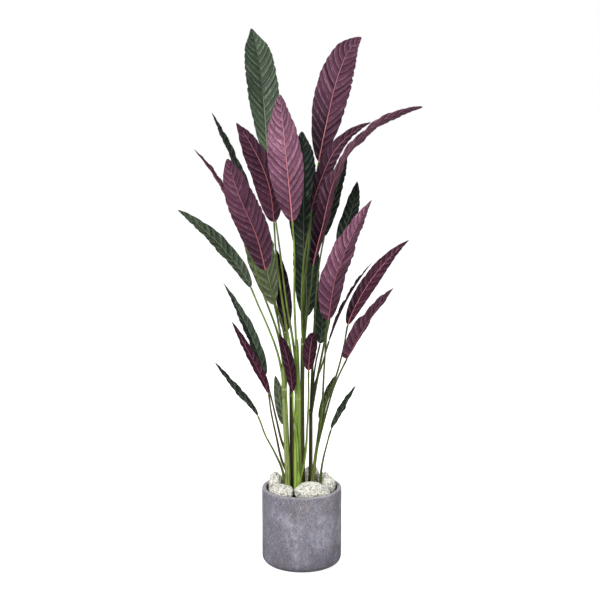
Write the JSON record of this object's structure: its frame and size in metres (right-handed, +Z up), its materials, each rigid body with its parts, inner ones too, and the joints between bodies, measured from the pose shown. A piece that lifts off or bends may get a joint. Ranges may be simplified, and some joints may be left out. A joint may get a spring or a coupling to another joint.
{
  "type": "potted stromanthe",
  "caption": "Tall potted stromanthe with long pleated leaves, green above and purple below, in a round grey concrete pot topped with pale stones",
  "frame": {"origin": "the middle of the pot's flat bottom, where the pot's own axis meets the surface it stands on", "axes": "+Z up along the pot's axis, -Y the front that faces the viewer, +X the viewer's right"},
  "size_m": [0.6305, 0.4522, 1.4654],
  "materials": {
    "leaf_green": "satin, green on the side that shows",
    "leaf_purple": "satin, purple on the side that shows",
    "pot_concrete": "matte, cloudy grey concrete",
    "stem_dark": "satin",
    "stem_green": "satin",
    "stem_olive": "satin",
    "soil": "matte, dark and crumbly",
    "pale_stone": "matte, porous"
  },
  "bodies": {
    "root": {"leaf_back_1": "leaf_green", "leaf_back_2": "leaf_purple", "leaf_back_3": "leaf_green", "leaf_back_4": "leaf_green", "leaf_brown_1": "leaf_purple", "leaf_brown_2": "leaf_green", "leaf_brown_3": "leaf_purple", "leaf_brown_4": "leaf_green", "leaf_front_1": "leaf_purple", "leaf_front_2": "leaf_purple", "leaf_front_3": "leaf_green", "leaf_front_4": "leaf_purple", "leaf_front_5": "leaf_purple", "leaf_left_1": "leaf_purple", "leaf_left_2": "leaf_purple", "leaf_left_3": "leaf_green", "leaf_left_4": "leaf_green", "leaf_left_5": "leaf_green", "leaf_low_left": "leaf_green", "leaf_low_right": "leaf_green", "leaf_middle_1": "leaf_purple", "leaf_middle_2": "leaf_purple", "leaf_middle_3": "leaf_green", "leaf_middle_4": "leaf_green", "leaf_middle_5": "leaf_purple", "leaf_right_1": "leaf_purple", "leaf_right_2": "leaf_purple", "leaf_right_3": "leaf_purple", "leaf_right_4": "leaf_green", "pot": "pot_concrete", "shoot_back": "stem_dark", "shoot_brown": "stem_dark", "shoot_front": "stem_green", "shoot_left": "stem_green", "shoot_low_left": "stem_olive", "shoot_low_right": "stem_olive", "shoot_middle": "stem_dark", "shoot_right": "stem_olive", "soil": "soil", "stone_back": "pale_stone", "stone_back_left": "pale_stone", "stone_back_right": "pale_stone", "stone_chip": "pale_stone", "stone_front": "pale_stone", "stone_front_left": "pale_stone", "stone_inner": "pale_stone", "stone_inner_left": "pale_stone", "stone_left": "pale_stone", "stone_right": "pale_stone"}
  },
  "joints": []
}
